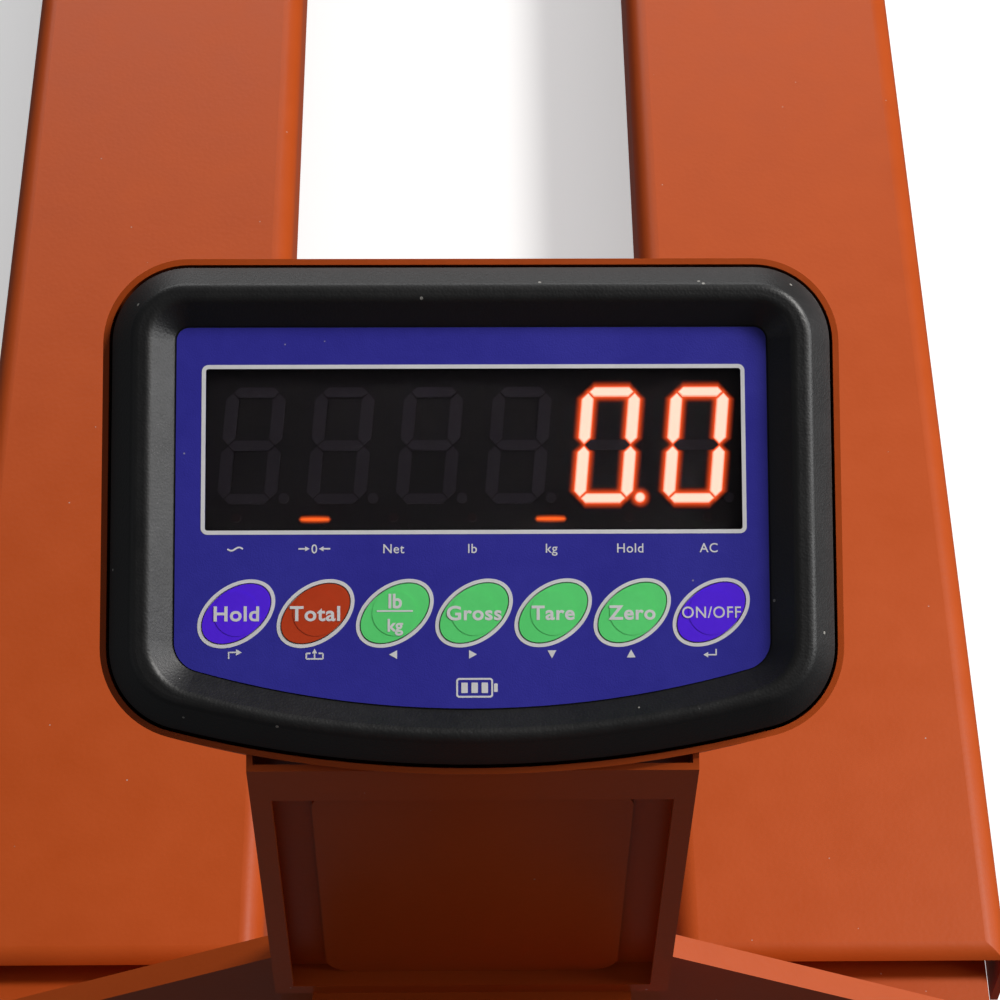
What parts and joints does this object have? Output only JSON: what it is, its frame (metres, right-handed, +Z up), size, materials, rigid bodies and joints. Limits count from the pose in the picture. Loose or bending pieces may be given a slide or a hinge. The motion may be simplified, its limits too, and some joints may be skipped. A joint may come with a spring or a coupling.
{
  "type": "pallet truck scale",
  "caption": "Hand pallet truck with weighing fork decks, a tilted LED display head with membrane keys on a column, a steered pump unit and a tiller.",
  "frame": {"origin": "on the floor below the middle of the bounding box, lift lowered, tiller leaning back", "axes": "+Z up, +Y towards the fork tips, +X to the right when standing at the tiller"},
  "size_m": [0.55, 1.7364, 1.1148],
  "materials": {
    "orange_paint": "orange powder coat, slight orange peel",
    "zinc_steel": "zinc plated",
    "chromed_ram": "hard chrome",
    "nickel_cell": "nickel plated",
    "black_abs": "black moulded plastic with a fine grain",
    "black_moulding": "black moulded plastic",
    "gasket_rubber": "soft black rubber",
    "blue_film": "blue polyester film, fine texture",
    "dome_film": "clear film with printed silver",
    "smoked_pane": "smoked acrylic",
    "led_black": "black",
    "led_lit": "lit red segments",
    "led_dark": "unlit segments",
    "lamp_lens": "red lamp lenses",
    "circuit_board": "green solder mask",
    "board_black": "black chip bodies",
    "battery_case": "dark wrap",
    "gland_nylon": "black nylon",
    "pump_paint": "dark grey paint on castings",
    "wheel_hub": "cast, painted grey",
    "wheel_tread": "polyurethane tread",
    "key_violet": "violet print",
    "key_brown": "red-brown print",
    "key_green": "green print"
  },
  "bodies": {
    "frame": {"frame_tower": "orange_paint", "cross_member": "orange_paint", "fork_channel_left": "orange_paint", "fork_channel_right": "orange_paint", "weigh_deck_left": "orange_paint", "weigh_deck_right": "orange_paint", "load_cells": "nickel_cell", "cell_feet": "zinc_steel", "arm_pin_left": "zinc_steel", "arm_pin_right": "zinc_steel", "column_frame": "orange_paint", "column_panel": "orange_paint", "column_bolts": "zinc_steel", "indicator_shroud": "orange_paint", "front_bezel": "black_abs", "rear_case": "black_abs", "case_gasket": "gasket_rubber", "case_screws": "zinc_steel", "keypad_overlay": "blue_film", "dome_sheet": "dome_film", "display_window": "smoked_pane", "digit_module": "led_black", "lit_segments": "led_lit", "dark_segments": "led_dark", "status_lamps": "lamp_lens", "main_board": "circuit_board", "board_parts": "board_black", "battery": "battery_case", "battery_bracket": "zinc_steel", "cable_gland": "gland_nylon"},
    "ram": {"lift_ram": "chromed_ram", "thrust_bearing": "zinc_steel"},
    "pump": {"pump_housing": "pump_paint", "steer_axle": "zinc_steel", "tiller_pin": "zinc_steel"},
    "steer_wheel_left": {"steer_hub_left": "wheel_hub", "steer_tread_left": "wheel_tread"},
    "steer_wheel_right": {"steer_hub_right": "wheel_hub", "steer_tread_right": "wheel_tread"},
    "plunger": {"pump_plunger": "zinc_steel"},
    "tiller": {"tiller_arm": "orange_paint", "handle_loop": "black_moulding", "lever_bracket": "zinc_steel", "handle_grip_left": "gasket_rubber", "handle_grip_right": "gasket_rubber"},
    "lever": {"release_lever": "black_abs"},
    "arm_left": {"load_arm_left": "orange_paint", "roller_axle_left": "zinc_steel"},
    "arm_right": {"load_arm_right": "orange_paint", "roller_axle_right": "zinc_steel"},
    "roller_left": {"load_roller_left": "wheel_tread"},
    "roller_right": {"load_roller_right": "wheel_tread"},
    "key_hold": {"key_hold": "key_violet"},
    "key_total": {"key_total": "key_brown"},
    "key_unit": {"key_unit": "key_green"},
    "key_gross": {"key_gross": "key_green"},
    "key_tare": {"key_tare": "key_green"},
    "key_zero": {"key_zero": "key_green"},
    "key_power": {"key_power": "key_violet"}
  },
  "joints": [
    {"name": "steer", "type": "hinge", "parent": "frame", "child": "ram", "pos_m": [0, -0.4468, 0.37], "axis": [0, 0, 1], "range_deg": [-90, 90]},
    {"name": "lift", "type": "slide", "parent": "ram", "child": "pump", "axis": [0, 0, -1], "range_m": [0, 0.11]},
    {"name": "steer_wheel_left_spin", "type": "hinge", "parent": "pump", "child": "steer_wheel_left", "pos_m": [-0.06, -0.4468, 0.09], "axis": [1, 0, 0], "continuous": true},
    {"name": "steer_wheel_right_spin", "type": "hinge", "parent": "pump", "child": "steer_wheel_right", "pos_m": [0.06, -0.4468, 0.09], "axis": [1, 0, 0], "continuous": true},
    {"name": "tiller_tilt", "type": "hinge", "parent": "pump", "child": "tiller", "pos_m": [0, -0.5168, 0.265], "axis": [1, 0, 0], "range_deg": [-7, 50]},
    {"name": "plunger_stroke", "type": "slide", "parent": "pump", "child": "plunger", "axis": [0, 0, -1], "range_m": [-0.0025, 0.0155]},
    {"name": "release_squeeze", "type": "hinge", "parent": "tiller", "child": "lever", "pos_m": [0, -0.80974, 0.99006], "axis": [1, 0, 0], "range_deg": [0, 15], "stiffness_Nm_per_rad": 1},
    {"name": "load_arm_left_swing", "type": "hinge", "parent": "frame", "child": "arm_left", "pos_m": [-0.19, 0.5439, 0.05], "axis": [-1, 0, 0], "range_deg": [0, 46.5]},
    {"name": "load_roller_left_spin", "type": "hinge", "parent": "arm_left", "child": "roller_left", "pos_m": [-0.19, 0.7032, 0.035], "axis": [1, 0, 0], "continuous": true},
    {"name": "load_arm_right_swing", "type": "hinge", "parent": "frame", "child": "arm_right", "pos_m": [0.19, 0.5439, 0.05], "axis": [-1, 0, 0], "range_deg": [0, 46.5]},
    {"name": "load_roller_right_spin", "type": "hinge", "parent": "arm_right", "child": "roller_right", "pos_m": [0.19, 0.7032, 0.035], "axis": [1, 0, 0], "continuous": true},
    {"name": "key_hold_press", "type": "slide", "parent": "frame", "child": "key_hold", "axis": [0, 0.4756, -0.8796], "range_m": [0, 0.0004], "stiffness_N_per_m": 1500},
    {"name": "key_total_press", "type": "slide", "parent": "frame", "child": "key_total", "axis": [0, 0.4756, -0.8796], "range_m": [0, 0.0004], "stiffness_N_per_m": 1500},
    {"name": "key_unit_press", "type": "slide", "parent": "frame", "child": "key_unit", "axis": [0, 0.4756, -0.8796], "range_m": [0, 0.0004], "stiffness_N_per_m": 1500},
    {"name": "key_gross_press", "type": "slide", "parent": "frame", "child": "key_gross", "axis": [0, 0.4756, -0.8796], "range_m": [0, 0.0004], "stiffness_N_per_m": 1500},
    {"name": "key_tare_press", "type": "slide", "parent": "frame", "child": "key_tare", "axis": [0, 0.4756, -0.8796], "range_m": [0, 0.0004], "stiffness_N_per_m": 1500},
    {"name": "key_zero_press", "type": "slide", "parent": "frame", "child": "key_zero", "axis": [0, 0.4756, -0.8796], "range_m": [0, 0.0004], "stiffness_N_per_m": 1500},
    {"name": "key_power_press", "type": "slide", "parent": "frame", "child": "key_power", "axis": [0, 0.4756, -0.8796], "range_m": [0, 0.0004], "stiffness_N_per_m": 1500}
  ],
  "couplings": [
    {"joint": "load_arm_left_swing", "follows": "lift", "rad_per_m": 7.3},
    {"joint": "load_arm_right_swing", "follows": "lift", "rad_per_m": 7.3},
    {"joint": "plunger_stroke", "follows": "tiller_tilt", "m_per_rad": 0.0175}
  ]
}
